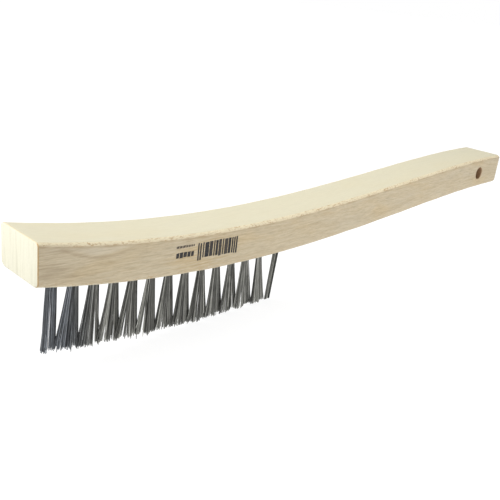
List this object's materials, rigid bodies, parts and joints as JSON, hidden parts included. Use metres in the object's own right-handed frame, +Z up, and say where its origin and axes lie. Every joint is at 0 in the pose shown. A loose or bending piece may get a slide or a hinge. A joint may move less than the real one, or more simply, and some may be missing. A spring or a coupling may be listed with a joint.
{
  "type": "wire scratch brush",
  "caption": "Curved-handle scratch brush: one sawn beech block as head and handle, two staggered rows of straight steel wire tufts, and a hanging hole.",
  "frame": {"origin": "bottom centre of the whole brush, level with the lowest wire tips, halfway along the block and halfway across it", "axes": "+X along the block from the head end to the handle end, +Y across the block from the front row of tufts to the rear row, +Z up, away from the wire tips"},
  "size_m": [0.349, 0.027, 0.0621],
  "materials": {
    "beech": "raw sanded beech, matt",
    "wire": "dark drawn carbon steel wire, satin",
    "anchor_steel": "bright flattened steel wire"
  },
  "bodies": {
    "root": {"handle": "beech", "wire_tuft_front_01": "wire", "wire_tuft_front_02": "wire", "wire_tuft_front_03": "wire", "wire_tuft_front_04": "wire", "wire_tuft_front_05": "wire", "wire_tuft_front_06": "wire", "wire_tuft_front_07": "wire", "wire_tuft_front_08": "wire", "wire_tuft_front_09": "wire", "wire_tuft_front_10": "wire", "wire_tuft_front_11": "wire", "wire_tuft_front_12": "wire", "wire_tuft_front_13": "wire", "wire_tuft_front_14": "wire", "wire_tuft_rear_01": "wire", "wire_tuft_rear_02": "wire", "wire_tuft_rear_03": "wire", "wire_tuft_rear_04": "wire", "wire_tuft_rear_05": "wire", "wire_tuft_rear_06": "wire", "wire_tuft_rear_07": "wire", "wire_tuft_rear_08": "wire", "wire_tuft_rear_09": "wire", "wire_tuft_rear_10": "wire", "wire_tuft_rear_11": "wire", "wire_tuft_rear_12": "wire", "wire_tuft_rear_13": "wire", "anchor_front_01": "anchor_steel", "anchor_front_02": "anchor_steel", "anchor_front_03": "anchor_steel", "anchor_front_04": "anchor_steel", "anchor_front_05": "anchor_steel", "anchor_front_06": "anchor_steel", "anchor_front_07": "anchor_steel", "anchor_front_08": "anchor_steel", "anchor_front_09": "anchor_steel", "anchor_front_10": "anchor_steel", "anchor_front_11": "anchor_steel", "anchor_front_12": "anchor_steel", "anchor_front_13": "anchor_steel", "anchor_front_14": "anchor_steel", "anchor_rear_01": "anchor_steel", "anchor_rear_02": "anchor_steel", "anchor_rear_03": "anchor_steel", "anchor_rear_04": "anchor_steel", "anchor_rear_05": "anchor_steel", "anchor_rear_06": "anchor_steel", "anchor_rear_07": "anchor_steel", "anchor_rear_08": "anchor_steel", "anchor_rear_09": "anchor_steel", "anchor_rear_10": "anchor_steel", "anchor_rear_11": "anchor_steel", "anchor_rear_12": "anchor_steel", "anchor_rear_13": "anchor_steel"}
  },
  "joints": []
}
